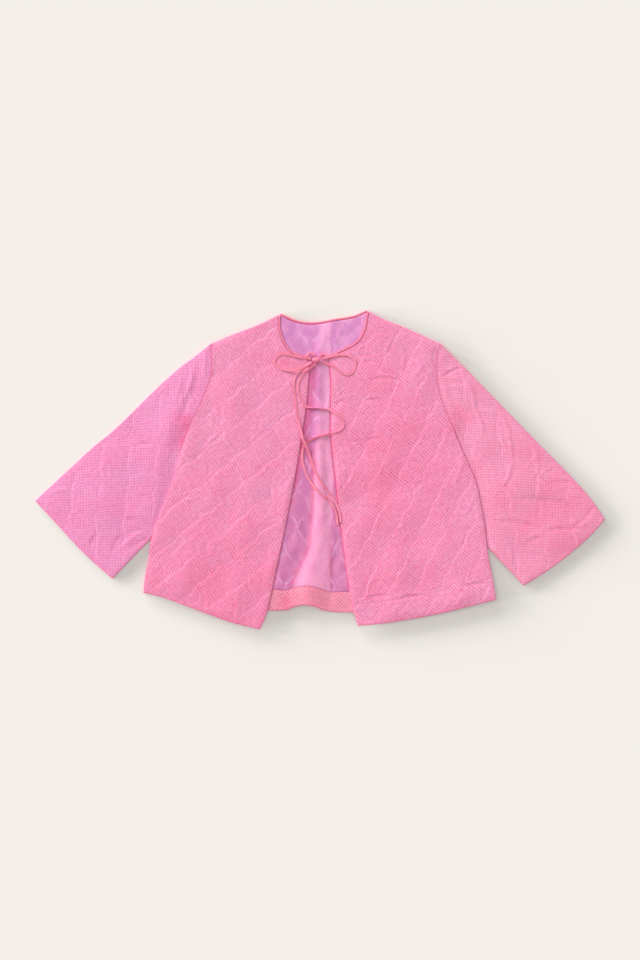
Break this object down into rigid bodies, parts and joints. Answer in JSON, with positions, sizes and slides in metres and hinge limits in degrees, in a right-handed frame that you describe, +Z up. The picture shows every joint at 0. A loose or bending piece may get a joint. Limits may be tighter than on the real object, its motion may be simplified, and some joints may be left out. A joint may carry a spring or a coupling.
{
  "type": "bed jacket",
  "caption": "Quilted bed jacket laid flat, front up: open front, bound round neck tied in a bow, wide set-in sleeves and a quilted lining inside.",
  "frame": {"origin": "on the surface that the jacket lies on, under the middle of its laid-out outline", "axes": "+X across the jacket to the right as seen from above, +Y from the hem to the neck, +Z up from the surface"},
  "size_m": [0.9674, 0.5418, 0.0145],
  "materials": {
    "shell_cloth": "fine pink and white gingham, quilted, matt with a slight sheen",
    "lining_cloth": "smooth lilac-pink lining, quilted, satin sheen",
    "bias_trim": "coral-pink bias strip"
  },
  "bodies": {
    "root": {"back": "shell_cloth", "back_lining": "lining_cloth", "back_hem_facing": "shell_cloth", "front_left": "shell_cloth", "front_right": "shell_cloth", "sleeve_left": "shell_cloth", "sleeve_right": "shell_cloth", "neck_binding_back": "bias_trim", "neck_binding_left": "bias_trim", "neck_binding_right": "bias_trim", "bow_knot": "bias_trim", "bow_loop_left": "bias_trim", "bow_loop_right": "bias_trim", "tie_tail_left": "bias_trim", "tie_tail_right": "bias_trim"}
  },
  "joints": []
}
